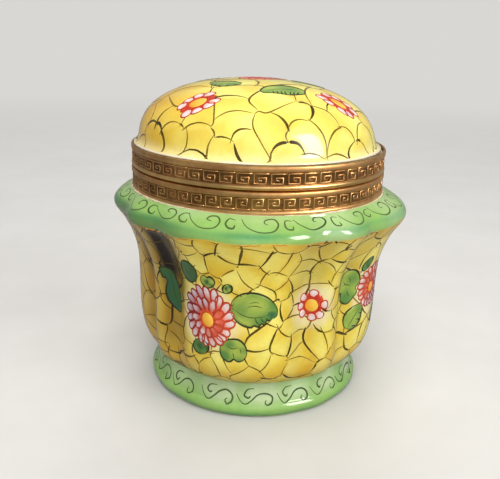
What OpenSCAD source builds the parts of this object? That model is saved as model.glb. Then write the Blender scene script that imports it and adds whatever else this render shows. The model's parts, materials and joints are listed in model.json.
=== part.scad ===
// Porcelain trinket box with a hinged dome lid in brass collars.
// The origin is on the table under the box's axis: +Z is up and -Y is the front.

/* [Box] */
// Outer radius of the two brass collars
collar_r = 35; // [33:0.5:36]
// Height of the seam between the collars above the table
seam_h = 63.5; // [62.5:0.5:66]
// Thickness of the porcelain at the neck, in the lid's skirt and at the dome's crown
wall = 3; // [2.5:0.1:3.4]

/* [Base] */
// Radius of the rim's lobes
rim_r = 41.5; // [41:0.1:42]
// Radius of the body's lobes
body_r = 34.8; // [34.5:0.1:35.5]
// Height at which the body meets the foot
foot_h = 9.9; // [9.5:0.1:10.5]
// Largest radius of the foot
foot_r = 30.9; // [30.5:0.1:31.5]
// Depth of the creases between the rim's lobes, as a share of the radius
rim_crease = 0.08; // [0.05:0.01:0.09]
// Depth of the creases between the body's lobes, as a share of the radius
body_crease = 0.15; // [0.1:0.005:0.17]

/* [Lid] */
// Height of the dome above the lid's collar
dome_h = 17.35; // [15:0.05:19]
// Height of the lid's collar
lid_collar_h = 5.85; // [5.5:0.05:6.5]
// Height of the base's collar
base_collar_h = 5.55; // [5.2:0.05:5.9]

/* [Hinge] */
// Width of the hinge
hinge_w = 17; // [14:0.5:20]
// Radius of the knuckles
knuckle_r = 1.5; // [1.3:0.1:1.6]
// Radius of the pin
pin_r = 0.75; // [0.6:0.05:0.8]
// Angle to which the lid is turned, 0 when shut
lid_angle = 0; // [0:1:105]

/* [Hidden] */
$fn = 96;

PORCELAIN_YELLOW = "khaki";
PORCELAIN_GREEN = "mediumseagreen";
BRASS = "darkgoldenrod";
PLASTER = "linen";

// Lobes: four wide ones centred on the axes, with four narrow ones between them
wide_half = 33.75;             // half the angle of a wide lobe
wide_power = 2.4;              // how flat a wide lobe is before it turns into the crease
narrow_half = 45 - wide_half;  // half the angle of a narrow lobe
narrow_rise = 0.65;            // how far a narrow lobe comes back out of the creases
turn_step = 360 / 64;          // angle between the columns of the lobed shell

// Collars: sheet thickness, raised strips and the sunk ground of the frieze
sheet = 0.55;
collar_bore = collar_r - sheet;
strip_r = collar_r + 0.2;
ground_r = collar_r - 0.1;
seam_gap = 0.15;               // half of the gap between the shut collars
flange = 0.6;                  // thickness of the flange over the porcelain's edge
flange_lip = 0.2;              // how far the flange stops short of the porcelain's bore
edge = 0.15;                   // chamfer on the collars' edges
step = 0.25;                   // height of the slope from a strip down to the frieze's ground
base_top = seam_h - seam_gap;
base_low = base_top - base_collar_h;
lid_low = seam_h + seam_gap;
lid_top = lid_low + lid_collar_h;

// Shoulder that the base's collar stands on, and the neck inside the collar
shoulder_z = base_low;
shoulder_r = strip_r + 0.3;
neck_r = collar_r - 1.6;
neck_top = base_top - flange - 0.05;  // a hair under the flange
mouth_r = neck_r - wall;

// Dome: half of an ellipsoid that is a little fuller at its shoulder, with its lower edge flared out.
// Its sides are 0.7 mm thinner than its crown.
dome_r = collar_r - 2.4;
dome_side = 2.27;              // 2 is an ellipse, and more has a steeper side
dome_crown = 2.46;             // 2 is an ellipse, and more has a flatter crown
dome_sunk = 0.2;               // how far the dome's widest ring lies below the collar's edge
flare = 1.7;                   // how far the lower edge stands out from the dome
flare_rise = 0.8;              // height in which that falls to about a third
skirt_r = collar_r - 1.7;      // the part of the lid that is hidden in the collar
dome_low = lid_low + flange;

// Hinge: the axis runs along X behind the seam
axis_y = strip_r + 0.4 + knuckle_r;
leaf_out = axis_y - 0.9;       // outer face of the leaves' plates
leaf_low = base_low + 0.2;
leaf_high = lid_top - 1.2;
leaf_gap = 0.5;                // from the seam to each leaf's edge
middle_half = 2.9;             // half the length of the lid's knuckle
knuckle_gap = 0.2;
running = 0.05;                // clearance of the pin in the lid's knuckle
turning = 0.35;                // clearance round the other leaf's knuckles

// Height and radius on the lobes' crests, and crease depth, from the foot to the neck
body_h = shoulder_z - foot_h;
outer_keys = [for (k = [[0, 0.845, 0.17], [0.041, 0.91, 0.45], [0.098, 0.96, 0.7],
                        [0.19, 0.99, 0.88], [0.324, 1.002, 1], [0.472, 1.004, 1],
                        [0.595, 1.018, 0.96], [0.709, 1.06, 0.76]])
                  [foot_h + k[0] * body_h, body_r * k[1], body_crease * k[2]]];
rim_keys = [for (k = [[0.802, 0.94, 1.25], [0.861, 0.985, 1.06], [0.894, 1, 1], [0.925, 0.987, 0.93],
                      [0.959, 0.94, 0.75], [0.985, 0.886, 0.35]])
                [foot_h + k[0] * body_h, rim_r * k[1], rim_crease * k[2]]];
shoulder_key = [[shoulder_z, shoulder_r, 0]];
inner_r = body_r - 0.5 - wall;
inner_keys = [for (k = [[0, 0.8, 0.1], [0.046, 0.888, 0.4], [0.138, 0.97, 0.75], [0.306, 1.003, 1],
                        [0.489, 1.003, 1], [0.632, 1.035, 0.95], [0.759, 1.11, 0.65],
                        [0.84, 1.168, 0.5], [0.9, 1.155, 0.4], [0.945, 1.07, 0.2], [0.98, 0.98, 0]])
                  [foot_h + k[0] * body_h, inner_r * k[1], body_crease * k[2]]];
mouth_key = [[shoulder_z, mouth_r - 0.4, 0]];

// How far the plan outline has come in at angle a: 0 on a wide lobe's crest, 1 in a crease
function lobe_drop(a) =
    let (m = a % 90, d = m > 45 ? 90 - m : m)
    d <= wide_half ? pow(d / wide_half, wide_power)
                   : 1 - narrow_rise * (1 - pow((45 - d) / narrow_half, 2));

// A point on the smooth curve through keys a, b, c and d, at share t of the way from b to c
function curve_point(a, b, c, d, t) =
    0.5 * (2 * b + (c - a) * t + (2 * a - 5 * b + 4 * c - d) * t * t
           + (3 * b - a - 3 * c + d) * t * t * t);

// Keys with a further row set half way between each two
function smooth_rows(keys) =
    let (last = len(keys) - 1)
    [for (i = [0:last - 1])
        for (t = [0, 0.5])
            curve_point(keys[max(i - 1, 0)], keys[i], keys[i + 1], keys[min(i + 2, last)], t),
     keys[last]];

// One closed ring of points for a row of height, crest radius and crease depth
function ring(row) =
    [for (a = [0:turn_step:360 - turn_step / 2])
        let (r = row[1] * (1 - row[2] * lobe_drop(a)))
        [r * cos(a), r * sin(a), row[0]]];

// A closed shell through rings that run up the outside and down the inside
module lobed_shell(rows) {
    n = round(360 / turn_step);
    count = len(rows);
    points = [for (row = rows) each ring(row)];
    faces = [for (i = [0:count - 1])
                for (j = [0:n - 1])
                    let (up = (i + 1) % count, next = (j + 1) % n)
                    for (f = [[i * n + j, up * n + j, up * n + next],
                              [i * n + j, up * n + next, i * n + next]])
                        f];
    polyhedron(points, faces);
}

function reversed(rows) = [for (i = [len(rows) - 1:-1:0]) rows[i]];

// Outline of the foot in radius and height, with its recess below and the box's floor above
module foot_outline() {
    edge_r = 2.1;                    // radius of the rounded edge
    edge_z = 2.2;                    // height of that edge's middle
    ring_r = foot_r - 1.2;           // outside of the ring that stands on the table
    recess_r = ring_r - 3.1;
    recess_h = 3;
    recess_lean = 0.8;               // how far the recess's side leans in
    waist = [foot_r - 1.5, foot_h - 3];
    top_r = foot_r - 2.1;
    floor_h = foot_h - 1.9;
    floor_r = body_r - 15;           // radius of the floor's flat middle
    floor_bend = [floor_r + 2.8, floor_h + 0.6];
    floor_edge_r = floor_r + 4.6;
    polygon([[0, recess_h], [recess_r - recess_lean, recess_h], [recess_r, 0], [ring_r, 0],
             for (a = [-60:20:60]) [foot_r - edge_r + edge_r * cos(a), edge_z + edge_r * sin(a)],
             waist, [top_r, foot_h], [floor_edge_r, foot_h],
             floor_bend, [floor_r, floor_h], [0, floor_h]]);
}

// Half of a dome's section: radius r at height z, crown h above that, and the edge's flare
module dome_section(r, h, z, out = 0) {
    steps = 28;
    polygon([[0, z], for (i = [0:steps])
        let (a = 90 * i / steps, up = h * pow(sin(a), 2 / dome_crown))
        [r * pow(cos(a), 2 / dome_side) + out * exp(-up / flare_rise), z + up]]);
}

module tube(r, bore, low, high) {
    rotate_extrude() translate([bore, low]) square([r - bore, high - low]);
}

// A cylinder along the hinge's axis, from one x to another
module axle(r, x1, x2) {
    translate([x1, axis_y, seam_h]) rotate([0, 90, 0]) cylinder(r = r, h = x2 - x1, $fn = 48);
}

// The porcelain base: foot, lobed body, scalloped rim and neck in one casting
module bowl() {
    color(PORCELAIN_GREEN) rotate_extrude() foot_outline();
    color(PORCELAIN_YELLOW)
        lobed_shell(concat(smooth_rows(concat(outer_keys, rim_keys, shoulder_key)),
                           reversed(concat(inner_keys, mouth_key))));
    color(PORCELAIN_YELLOW) tube(neck_r, mouth_r, shoulder_z, neck_top);
}

// The plaster that beds the base's collar on the neck
module base_bedding() {
    color(PLASTER) tube(collar_bore, neck_r, shoulder_z, base_top - flange);
}

// The base's collar: bead, frieze and smooth strip, with a flange over the neck
module base_collar() {
    bead_h = 0.8;
    strip_h = 1.3;
    color(BRASS) rotate_extrude()
        polygon([[collar_bore, base_low], [strip_r - edge, base_low], [strip_r, base_low + edge],
                 [strip_r, base_low + bead_h], [ground_r, base_low + bead_h + step],
                 [ground_r, base_top - strip_h - step], [strip_r, base_top - strip_h],
                 [strip_r, base_top - edge], [strip_r - edge, base_top],
                 [mouth_r + flange_lip, base_top], [mouth_r + flange_lip, base_top - flange],
                 [collar_bore, base_top - flange]]);
}

// A hinge leaf's plate between two heights, hollowed to sit on its collar
module leaf_plate(low, high) {
    back = collar_r - 3;  // a plane well inside the collar at the plate's ends
    difference() {
        translate([-hinge_w / 2, back, low]) cube([hinge_w, leaf_out - back, high - low]);
        translate([0, 0, low - 1]) cylinder(r = strip_r, h = high - low + 2);
    }
}

// The fixed leaf, with a knuckle rolled at each end
module base_hinge_leaf() {
    outer = middle_half + knuckle_gap;
    color(BRASS) difference() {
        union() {
            leaf_plate(leaf_low, seam_h - leaf_gap);
            for (x = [-hinge_w / 2, outer]) axle(knuckle_r, x, x + hinge_w / 2 - outer);
        }
        axle(pin_r, -hinge_w, hinge_w);
        axle(knuckle_r + turning, -outer, outer);
    }
}

// The moving leaf, with one knuckle rolled in the middle
module lid_hinge_leaf() {
    color(BRASS) difference() {
        union() {
            leaf_plate(seam_h + leaf_gap, leaf_high);
            axle(knuckle_r, -middle_half, middle_half);
        }
        axle(pin_r + running, -hinge_w, hinge_w);
        for (x = [-hinge_w, middle_half]) axle(knuckle_r + turning, x, x + hinge_w - middle_half);
    }
}

// The pin, with a low peened head at each end
module hinge_pin() {
    head_r = pin_r + 0.35;
    head_h = 0.45;
    outer = hinge_w / 2 + head_h;
    color(BRASS) {
        axle(pin_r, -outer, outer);
        for (x = [-outer, hinge_w / 2]) axle(head_r, x, x + head_h);
    }
}

// The porcelain dome, with a skirt that stands in the lid's collar
module dome() {
    bore = skirt_r - wall;
    color(PORCELAIN_YELLOW) rotate_extrude() difference() {
        union() {
            translate([0, dome_low]) square([skirt_r, lid_top - dome_low]);
            dome_section(dome_r, dome_h + dome_sunk, lid_top - dome_sunk, flare);
        }
        translate([0, dome_low - 1]) square([bore, lid_top - dome_low + 1]);
        dome_section(bore, dome_h - wall, lid_top);
    }
}

// The plaster that beds the lid's collar on the dome's skirt
module lid_bedding() {
    bedding_top = lid_top - 1.2;
    color(PLASTER) tube(collar_bore, skirt_r, dome_low, bedding_top);
}

// The lid's collar: flange under the dome, bead, frieze and smooth lip
module lid_collar() {
    bead_h = 1.05;
    lip_h = 1.4;
    color(BRASS) rotate_extrude()
        polygon([[mouth_r + flange_lip, lid_low], [strip_r - 2 * edge, lid_low],
                 [strip_r, lid_low + 2 * edge], [strip_r, lid_low + bead_h],
                 [ground_r, lid_low + bead_h + step], [ground_r, lid_top - lip_h - step],
                 [strip_r, lid_top - lip_h], [strip_r, lid_top - edge], [strip_r - edge, lid_top],
                 [collar_bore, lid_top], [collar_bore, dome_low],
                 [mouth_r + flange_lip, dome_low]]);
}

// Turns a piece of the lid about the hinge's axis
module on_lid() {
    translate([0, axis_y, seam_h]) rotate([-lid_angle, 0, 0]) translate([0, -axis_y, -seam_h])
        children();
}

bowl();
base_bedding();
base_collar();
base_hinge_leaf();
hinge_pin();
on_lid() dome();
on_lid() lid_bedding();
on_lid() lid_collar();
on_lid() lid_hinge_leaf();
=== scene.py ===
import itertools
import json
import math

import bpy
import numpy as np
from mathutils import Matrix, Vector
from mathutils.geometry import delaunay_2d_cdt


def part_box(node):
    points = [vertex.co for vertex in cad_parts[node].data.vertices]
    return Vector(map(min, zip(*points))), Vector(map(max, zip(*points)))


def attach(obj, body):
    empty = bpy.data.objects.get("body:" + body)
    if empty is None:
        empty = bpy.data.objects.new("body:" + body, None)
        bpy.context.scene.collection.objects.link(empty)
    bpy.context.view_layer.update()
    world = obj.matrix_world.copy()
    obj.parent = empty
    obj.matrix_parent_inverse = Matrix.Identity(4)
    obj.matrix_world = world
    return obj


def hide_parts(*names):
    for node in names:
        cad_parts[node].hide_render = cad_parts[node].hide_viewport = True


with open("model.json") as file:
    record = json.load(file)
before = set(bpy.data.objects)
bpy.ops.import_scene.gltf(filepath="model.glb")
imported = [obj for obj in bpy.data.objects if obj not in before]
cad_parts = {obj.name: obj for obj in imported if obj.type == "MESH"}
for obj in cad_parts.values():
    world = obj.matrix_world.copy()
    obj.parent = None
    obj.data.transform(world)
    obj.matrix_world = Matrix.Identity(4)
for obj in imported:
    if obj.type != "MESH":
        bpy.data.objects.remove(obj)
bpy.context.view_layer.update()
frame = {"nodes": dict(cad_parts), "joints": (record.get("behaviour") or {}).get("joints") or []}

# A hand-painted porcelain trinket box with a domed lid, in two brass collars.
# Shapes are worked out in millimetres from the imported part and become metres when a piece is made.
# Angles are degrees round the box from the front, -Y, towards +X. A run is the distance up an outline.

MM = 0.001


# ---- sizes

def node_box(node):
    """Lowest and highest corner of a node, in mm."""
    return [[value / MM for value in corner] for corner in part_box(node)]


BOWL = node_box("bowl")
DOME = node_box("dome")
BASE_COLLAR = node_box("base_collar")
LID_COLLAR = node_box("lid_collar")

SEAM_Z = frame["joints"][0]["pos_m"][2] / MM
COLLAR_R = BASE_COLLAR[1][0]
WALL = 3.0
COLUMNS = 384

# The base
BODY_R = COLLAR_R - 0.4
RIM_R = BOWL[1][0]
FOOT_H = 9.9
FOOT_R = 30.9
SHOULDER_Z = BASE_COLLAR[0][2]
SHOULDER_R = COLLAR_R + 0.3
NECK_R = COLLAR_R - 1.8
NECK_TOP = BOWL[1][2]
MOUTH_R = NECK_R - WALL
BODY_H = SHOULDER_Z - FOOT_H
BODY_CREASE = 0.15
RIM_CREASE = 0.08

# The dome: powers of its section's curve, and its flared lower edge
DOME_R = COLLAR_R - 2.6
DOME_SIDE = 2 / 2.27
DOME_CROWN = 2 / 2.46
FLARE = 1.7
FLARE_RISE = 0.8
SKIRT_R = COLLAR_R - 1.9
DOME_EDGE = LID_COLLAR[1][2] + 0.05

# The maker's hand: the walls are a little uneven, the body stands to the right of its collars and the
# dome leans to the left. Heights are shares of the body's own.
BOWL_UNEVEN = 0.0022
DOME_UNEVEN = 0.0016
SWAY = ((-0.3, 0.5), (0.0, 0.45), (0.5, 0.55), (0.85, 0.7), (0.93, 0.5), (1.0, 0.0))
DOME_SHIFT = -0.35
DOME_LEAN = -0.07

# Lobes: four wide ones on the axes, and four narrow ones between them
WIDE_HALF = 33.75
WIDE_POWER = 2.4
NARROW_HALF = 45 - WIDE_HALF
NARROW_RISE = 0.65
CREASE_EASE = 3.2


# ---- colours

def tone(red, green, blue):
    """A linear colour from its eight-bit values."""
    share = np.array([red, green, blue]) / 255.0
    return np.where(share <= 0.04045, share / 12.92, ((share + 0.055) / 1.055) ** 2.4)


YELLOW = tone(240, 218, 78)
PALE_YELLOW = tone(246, 235, 126)
GOLD = tone(220, 170, 34)
OCHRE = tone(186, 130, 26)
# Painted shade in the creases and a painted shadow along the body's bottom edge
SHADE_UMBER = tone(28, 15, 3)
CREAM = tone(236, 226, 202)
EDGE_CREAM = tone(238, 230, 176)
GREEN = tone(144, 186, 99)
DEEP_GREEN = tone(84, 150, 88)
SHADY_GREEN = tone(70, 106, 60)
PALE_GREEN = tone(186, 208, 158)
EDGE_RED = tone(206, 112, 52)
GLAZE_SPOT = tone(206, 208, 176)
INK = tone(126, 98, 6)
DARK_INK = tone(60, 46, 3)
# Ink for painted shade: the lines in the shaded creases turn towards it
INK_IN_SHADE = tone(10, 6, 2)
PALE_INK = tone(150, 128, 34)
SCROLL = tone(88, 110, 58)
DARK_SCROLL = tone(54, 74, 40)
PETAL = tone(240, 224, 222)
LILAC = tone(208, 184, 196)
PINK = tone(238, 140, 110)
ORANGE_RED = tone(220, 82, 44)
RED = tone(186, 38, 34)
DARK_RED = tone(138, 26, 34)
DISC = tone(236, 158, 36)
PALE_DISC = tone(252, 204, 84)
LEAF = tone(172, 192, 84)
MID_LEAF = tone(94, 142, 68)
DARK_LEAF = tone(62, 100, 54)
BLUE_LEAF = tone(52, 96, 72)
LEAF_INK = tone(54, 56, 24)


def blend(a, b, share):
    """The colour between a and b, for one share or an array of them."""
    share = np.clip(np.asarray(share, float), 0, 1)[..., None]
    return a + (b - a) * share


def ease(value, low, high):
    """0 below low and 1 above high, with a smooth step between them."""
    share = np.clip((np.asarray(value, float) - low) / (high - low), 0, 1)
    return share * share * (3 - 2 * share)


def waves(seed, count, strongest):
    """A slow unevenness round and up the box: a function of angle and height."""
    draw = np.random.default_rng(seed)
    turns = draw.integers(1, strongest + 1, count)
    rises = draw.uniform(-0.12, 0.12, count)
    starts = draw.uniform(0, 2 * math.pi, count)
    sizes = draw.uniform(0.4, 1, count) / math.sqrt(count)

    def value(angle, height):
        return sum(size * np.sin(np.radians(angle) * turn + height * rise + start)
                   for turn, rise, start, size in zip(turns, rises, starts, sizes))

    return value


UNEVEN = waves(5, 7, 5)
WASH = waves(11, 9, 7)


# ---- directions and places

def unit(vectors):
    """Vectors made one unit long."""
    return vectors / np.maximum(np.linalg.norm(vectors, axis=-1, keepdims=True), 1e-9)


def rightwards(ways):
    """Flat vectors turned a quarter to the right."""
    return np.stack([ways[..., 1], -ways[..., 0]], axis=-1)


def heading(degrees):
    """The flat unit vector in a direction."""
    turn = math.radians(degrees)
    return np.array([math.cos(turn), math.sin(turn)])


def off_angle(angle, middle):
    """How far an angle is from another, at most half a turn either way."""
    return (angle - middle + 180) % 360 - 180


def round_axis(radius, angle, height):
    """Points from a distance from the box's axis, an angle and a height."""
    turn = np.radians(angle)
    return np.stack(np.broadcast_arrays(radius * np.sin(turn), -radius * np.cos(turn), height), axis=-1)


# ---- surfaces of the porcelain

def lobe_drop(angle):
    """How far the plan outline has come in: 0 on a wide lobe's crest, 1 in a crease."""
    turn = np.mod(angle, 90)
    off = np.where(turn > 45, 90 - turn, turn)
    wide = (off / WIDE_HALF) ** WIDE_POWER
    narrow = 1 - NARROW_RISE * (1 - ((45 - off) / NARROW_HALF) ** 2)
    return np.where(off <= WIDE_HALF, wide, narrow)


def soft_lobe_drop(angle):
    """The same outline with its creases eased into round valleys."""
    spread = np.linspace(-CREASE_EASE, CREASE_EASE, 13)
    return sum(lobe_drop(angle + s) for s in spread) / len(spread)


def smooth_rows(keys, steps):
    """Rows on the smooth curve through the keys, with some steps from each key to the next."""
    keys = np.array(keys, float)
    spans = len(keys) - 1
    padded = np.vstack([keys[:1], keys, keys[-1:]])[:, None]
    a, b, c, d = (padded[i:i + spans] for i in range(4))
    t = (np.arange(steps) / steps)[:, None]
    rows = 0.5 * (2 * b + (c - a) * t + (2 * a - 5 * b + 4 * c - d) * t ** 2
                  + (3 * b - a - 3 * c + d) * t ** 3)
    return np.vstack([rows.reshape(-1, keys.shape[1]), keys[-1:]])


def body_keys(rows, radius, crease):
    """Keys of height, radius and crease depth from shares of the body's own."""
    return [[FOOT_H + z * BODY_H, radius * r, crease * c] for z, r, c in rows]


def bowl_rows():
    """Rows of height, crest radius and crease depth from the underside's middle, up the outside,
    over the mouth and down to the middle of the floor, and where the outside's rows start and end."""
    edge_r = 2.1
    edge_z = 2.2
    ring_r = FOOT_R - 1.2
    recess_r = ring_r - 3.1
    recess_h = 3.0
    foot_lobe = 0.012
    under = [[recess_h, r, 0] for r in (3, 9, 16, 21)]
    under += smooth_rows([[recess_h, recess_r - 1.6, 0], [recess_h - 0.25, recess_r - 0.9, 0],
                          [0.5, recess_r - 0.1, 0], [0.08, recess_r + 0.25, 0],
                          [0, recess_r + 0.7, 0], [0, ring_r - 0.5, 0], [0.1, ring_r + 0.1, 0]], 3).tolist()
    arc = np.radians(np.linspace(-60, 60, 14))
    foot = [[edge_z + edge_r * math.sin(a), FOOT_R - edge_r + edge_r * math.cos(a), foot_lobe] for a in arc]
    foot += smooth_rows([foot[-1], [FOOT_H - 4.0, FOOT_R - 1.55, 0.02], [FOOT_H - 2.1, FOOT_R - 1.9, 0.03],
                         [FOOT_H - 0.75, FOOT_R - 1.75, 0.035], [FOOT_H - 0.12, FOOT_R - 1.45, 0.04]],
                        6).tolist()[1:]
    body = body_keys([(0, .845, .17), (.041, .91, .45), (.098, .96, .7), (.19, .99, .88), (.324, 1.002, 1),
                      (.472, 1.004, 1), (.595, 1.018, .96), (.709, 1.06, .76)], BODY_R, BODY_CREASE)
    rim = body_keys([(.802, .94, 1.25), (.861, .985, 1.06), (.894, 1, 1), (.925, .987, .93),
                     (.959, .94, .75), (.985, .886, .35)], RIM_R, RIM_CREASE)
    shoulder = [[SHOULDER_Z, SHOULDER_R, 0]]
    outside = smooth_rows(body + rim + shoulder, 8).tolist()
    neck = [[SHOULDER_Z + 0.02, SHOULDER_R - 0.2, 0], [SHOULDER_Z + 0.02, NECK_R + 0.1, 0],
            [SHOULDER_Z + 0.2, NECK_R, 0], [NECK_TOP - 0.4, NECK_R, 0], [NECK_TOP, NECK_R - 0.4, 0],
            [NECK_TOP, MOUTH_R + 0.5, 0], [NECK_TOP - 0.15, MOUTH_R + 0.14, 0],
            [NECK_TOP - 0.5, MOUTH_R, 0], [SHOULDER_Z + 1.2, MOUTH_R - 0.05, 0]]
    inner = body_keys([(0, .8, .1), (.046, .888, .4), (.138, .97, .75), (.306, 1.003, 1),
                       (.489, 1.003, 1), (.632, 1.035, .95), (.759, 1.11, .65), (.84, 1.168, .5),
                       (.9, 1.155, .4), (.945, 1.07, .2), (.98, .98, 0)], BODY_R - 0.5 - WALL, BODY_CREASE)
    inner.append([SHOULDER_Z, MOUTH_R - 0.4, 0])
    inside = smooth_rows(inner[::-1], 4).tolist()
    floor_h = FOOT_H - 1.9
    floor_r = BODY_R - 15
    floor = smooth_rows([inside[-1], [floor_h + 0.75, floor_r + 3.2, 0.03],
                         [floor_h + 0.16, floor_r + 1.2, 0], [floor_h, floor_r - 1.5, 0]], 3).tolist()[1:]
    floor += [[floor_h, r, 0] for r in (13, 7.5, 2.5)]
    rows = np.array(under + foot + outside + neck + inside + floor)
    rows[:, 0] = np.maximum(rows[:, 0], 0)
    start = len(under)
    return rows, start, start + len(foot) + len(outside)


def dome_curve(radius, crown, base, steps):
    """Rows of a dome's section from its base up to just short of its crown."""
    turns = np.radians(90 * (np.linspace(0, 1, steps) ** 1.25)[:-1])
    return np.array([[base + crown * math.sin(t) ** DOME_CROWN, radius * math.cos(t) ** DOME_SIDE, 0]
                     for t in turns])


def dome_rows():
    """Rows of the skirt and the flared dome above the collar, and how many rows the skirt has."""
    low = DOME[0][2]
    outside = dome_curve(DOME_R, DOME[1][2] - DOME_EDGE, DOME_EDGE, 72)
    outside[:, 1] += FLARE * np.exp(-np.maximum(outside[:, 0] - DOME_EDGE - 0.2, 0) / FLARE_RISE)
    skirt = [[low, SKIRT_R - 0.3, 0], [low + 0.3, SKIRT_R, 0], [DOME_EDGE - 0.3, SKIRT_R, 0],
             [DOME_EDGE, SKIRT_R + 0.1, 0], [DOME_EDGE, outside[0, 1] - 0.15, 0]]
    return np.vstack([skirt, outside]), len(skirt)


def dome_inside_rows():
    """Rows down the inside of the dome, from its crown to the skirt's inner edge."""
    low = DOME[0][2]
    base = LID_COLLAR[1][2]
    inner_r = SKIRT_R - WALL
    curve = dome_curve(inner_r, DOME[1][2] - base - WALL, base, 30)[::-1]
    return np.vstack([curve, [[low + 2.5, inner_r, 0], [low + 0.3, inner_r, 0], [low, inner_r + 0.3, 0]]])


def ring_points(rows, columns, uneven=0.0):
    """Points of a surface with lobes, in rows and columns, from rows of height, radius and crease depth."""
    angle = np.arange(columns) * 360 / columns
    height, radius, crease = rows[:, 0:1], rows[:, 1:2], rows[:, 2:3]
    out = radius * (1 - crease * soft_lobe_drop(angle)) * (1 + uneven * UNEVEN(angle, height))
    return round_axis(out, angle, height)


def swayed(points):
    """Points of the base with its slow sway."""
    points[..., 0] += np.interp((points[..., 2] - FOOT_H) / BODY_H, *zip(*SWAY))
    return points


def leaned(points):
    """Points of the dome with its shift and lean, which start at the collar's edge."""
    rise = points[..., 2] - DOME_EDGE
    points[..., 0] += DOME_SHIFT * ease(rise, -0.4, 0) + DOME_LEAN * np.maximum(rise, 0)
    return points


class Surface:
    """An outside surface in rows and columns, with its places and normals by angle and by run."""

    def __init__(self, points):
        columns = points.shape[1]
        self.points = points
        across = np.roll(points, -1, 1) - np.roll(points, 1, 1)
        self.normals = unit(np.cross(across, np.gradient(points, axis=0)))
        crest = points[:, 0]
        steps = np.linalg.norm(np.diff(crest, axis=0), axis=1)
        self.run = np.concatenate([[0], np.cumsum(steps)])
        self.crest_r = np.hypot(crest[:, 0], crest[:, 1])
        self.crest_z = crest[:, 2]
        self.angles, self.runs = np.broadcast_arrays(np.arange(columns) * 360 / columns, self.run[:, None])
        self.heights = points[..., 2]

    def run_at(self, height):
        """The run at which the crest reaches a height."""
        return float(np.interp(height, self.crest_z, self.run))

    def radius(self, run):
        return float(np.interp(run, self.run, self.crest_r))

    def place(self, angle, run, lift):
        """Points raised by lift from the surface, for arrays of angle and run."""
        rows, columns = self.points.shape[:2]
        at = np.interp(run, self.run, np.arange(rows))
        row = np.clip(at.astype(int), 0, rows - 2)
        up = (at - row)[..., None]
        turn = np.mod(angle, 360) / 360 * columns
        column = np.floor(turn).astype(int) % columns
        side = (turn - np.floor(turn))[..., None]
        nearby = (column + 1) % columns

        def mixed(values):
            low = values[row, column] * (1 - side) + values[row, nearby] * side
            high = values[row + 1, column] * (1 - side) + values[row + 1, nearby] * side
            return low * (1 - up) + high * up

        return mixed(self.points) + mixed(self.normals) * np.asarray(lift)[..., None]

    def band(self, angle, run, turn=0.0):
        """A flat chart in mm, x round and y up, laid on the surface about one place and turned."""
        radius = self.radius(run)
        cos, sin = heading(turn)

        def chart(x, y, lift):
            right, up = x * cos - y * sin, x * sin + y * cos
            return self.place(angle + np.degrees(right / radius), run + up, lift)

        return chart

    def crown(self, angle, away, turn=0.0):
        """The same for a dome, about a place at some distance from the top, where y is outwards."""
        total = self.run[-1]
        squeeze = away / self.radius(total - away)
        cos, sin = heading(turn)
        side = heading(angle)
        out = rightwards(side)

        def chart(x, y, lift):
            right, up = (x * cos - y * sin) * squeeze, x * sin + y * cos
            flat = [out[i] * (away + up) + side[i] * right for i in (0, 1)]
            return self.place(np.degrees(np.arctan2(flat[0], -flat[1])), total - np.hypot(*flat), lift)

        return chart


# ---- making pieces

def new_object(name, data):
    """A new object in the scene."""
    made = bpy.data.objects.new(name, data)
    bpy.context.scene.collection.objects.link(made)
    return made


def make_piece(name, points, faces, material, body, values):
    """A mesh object from points in mm. Values are attributes by name: a colour or one number a point."""
    mesh = bpy.data.meshes.new(name)
    mesh.from_pydata((np.asarray(points) * MM).tolist(), [], faces)
    mesh.validate()
    for key, data in values.items():
        data = np.asarray(data, np.float32)
        if data.ndim == 2:
            colour = mesh.color_attributes.new(key, "FLOAT_COLOR", "POINT")
            colour.data.foreach_set("color", np.c_[data, np.ones(len(data))].astype(np.float32).ravel())
        else:
            mesh.attributes.new(key, "FLOAT", "POINT").data.foreach_set("value", data)
    mesh.polygons.foreach_set("use_smooth", [True] * len(mesh.polygons))
    mesh.materials.append(material)
    piece = new_object(name, mesh)
    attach(piece, body)
    return piece


def grid_faces(rows, columns, wrap=True, first=0, closed=False):
    """Faces between rows of points that run round a ring. closed joins the last row to the first."""
    faces = []
    for i in range(rows if closed else rows - 1):
        up = (i + 1) % rows
        for j in range(columns if wrap else columns - 1):
            nearby = (j + 1) % columns
            faces.append((first + i * columns + j, first + i * columns + nearby,
                          first + up * columns + nearby, first + up * columns + j))
    return faces


def tube_faces(rows, columns, first=0):
    """Faces of a bar from rows of points that run round it, with both ends shut."""
    last = first + (rows - 1) * columns
    ends = [tuple(range(first, first + columns))[::-1], tuple(range(last, last + columns))]
    return grid_faces(rows, columns, first=first) + ends


def painted_shell(node, body, points, outside, ground, crown_tone):
    """A porcelain shell that closes on the axis past its first and last rows. It is cream, with the
    ground's colours on the rows of its outside."""
    tones = np.broadcast_to(CREAM, points.shape).copy()
    tones[outside] = ground
    tones = np.vstack([tones.reshape(-1, 3), [CREAM, crown_tone]])
    rows, columns = points.shape[:2]
    first, last = rows * columns, rows * columns + 1
    faces = grid_faces(rows, columns)
    for j in range(columns):
        nearby = (j + 1) % columns
        faces += [(first, nearby, j), (last, first - columns + j, first - columns + nearby)]
    points = np.vstack([points.reshape(-1, 3), points[[0, -1]].mean(axis=1)])
    return make_piece("painted_" + node, points, faces, PORCELAIN, body,
                      {"paint": tones})


# ---- brushwork

# How far the brushwork reaches into the surface, how far each kind of it stands up, and how much higher
# every other petal is
SUNK = 0.015
LINE_LIFT = 0.024
GROUND_LIFT = 0.045
LEAF_LIFT = 0.055
PETAL_LIFT = 0.065
PETAL_STEP = 0.006
STROKE_LIFT = 0.08


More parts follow.
